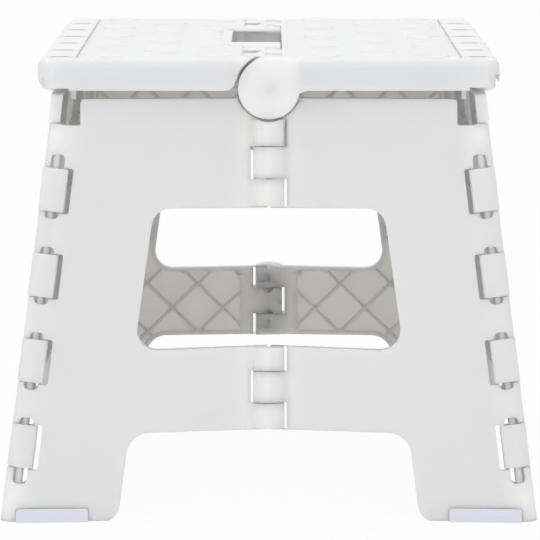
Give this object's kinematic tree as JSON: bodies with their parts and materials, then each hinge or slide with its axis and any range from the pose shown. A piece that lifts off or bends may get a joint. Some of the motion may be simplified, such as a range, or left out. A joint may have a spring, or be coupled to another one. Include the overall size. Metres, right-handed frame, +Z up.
{
  "type": "folding step stool",
  "caption": "White plastic folding step stool whose hinged half panels and split top fold flat.",
  "frame": {"origin": "middle of the footprint on the floor, below the top's centre hinge", "axes": "+Z up; +X across the pictured front from the left half to the right half; +Y from the pictured front to the back, along the top's centre hinge"},
  "size_m": [0.2572, 0.29, 0.22],
  "materials": {
    "shell": "satin",
    "rod_plastic": "satin",
    "grip": "matte"
  },
  "bodies": {
    "side_left": {"side_left_panel": "shell", "side_pads_left": "grip", "side_pin_left": "rod_plastic"},
    "front_left": {"front_left_panel": "shell", "foot_pad_front_left": "grip", "corner_rod_front_left": "rod_plastic", "centre_pin_front_upper": "rod_plastic", "centre_pin_front_lower": "rod_plastic"},
    "front_right": {"front_right_panel": "shell", "foot_pad_front_right": "grip", "corner_rod_front_right": "rod_plastic"},
    "side_right": {"side_right_panel": "shell", "side_pads_right": "grip", "side_pin_right": "rod_plastic"},
    "back_left": {"back_left_panel": "shell", "foot_pad_back_left": "grip", "corner_rod_back_left": "rod_plastic"},
    "back_right": {"back_right_panel": "shell", "foot_pad_back_right": "grip", "corner_rod_back_right": "rod_plastic", "centre_pin_back_upper": "rod_plastic", "centre_pin_back_lower": "rod_plastic"},
    "top_left": {"top_left_half": "shell"},
    "top_right": {"top_right_half": "shell", "top_pin_front": "rod_plastic", "top_pin_back": "rod_plastic"}
  },
  "joints": [
    {"name": "corner_front_left", "type": "hinge", "parent": "side_left", "child": "front_left", "pos_m": [-0.12211, -0.1386, 0], "axis": [0.1207, 0.137, 0.9832], "range_deg": [0, 84.5]},
    {"name": "centre_front", "type": "hinge", "parent": "front_left", "child": "front_right", "pos_m": [0, -0.1386, 0], "axis": [0, -0.138, -0.9904], "range_deg": [-0.5, 167.78]},
    {"name": "corner_front_right", "type": "hinge", "parent": "front_right", "child": "side_right", "pos_m": [0.12211, -0.1386, 0], "axis": [-0.1207, 0.137, 0.9832], "range_deg": [-0.5, 85.08]},
    {"name": "corner_back_left", "type": "hinge", "parent": "side_left", "child": "back_left", "pos_m": [-0.12211, 0.1386, 0], "axis": [-0.1207, 0.137, -0.9832], "range_deg": [-0.5, 85]},
    {"name": "centre_back", "type": "hinge", "parent": "back_left", "child": "back_right", "pos_m": [0, 0.1386, 0], "axis": [0, -0.138, 0.9904], "range_deg": [-0.5, 167.78]},
    {"name": "top_side_left", "type": "hinge", "parent": "side_left", "child": "top_left", "pos_m": [-0.10304, 0, 0.2049], "axis": [0, -1, 0], "range_deg": [-0.5, 77.29]},
    {"name": "top_centre", "type": "hinge", "parent": "top_left", "child": "top_right", "pos_m": [0, 0, 0.2049], "axis": [0, 1, 0], "range_deg": [-0.5, 162.04]}
  ],
  "couplings": [
    {"joint": "centre_front", "follows": "corner_front_left", "ratio": 1.9796},
    {"joint": "corner_front_right", "follows": "corner_front_left", "ratio": 1.001},
    {"joint": "corner_back_left", "follows": "corner_front_left", "ratio": 1},
    {"joint": "centre_back", "follows": "corner_front_left", "ratio": 1.9796},
    {"joint": "top_side_left", "follows": "corner_front_left", "ratio": 0.9088},
    {"joint": "top_centre", "follows": "corner_front_left", "ratio": 1.9117}
  ]
}
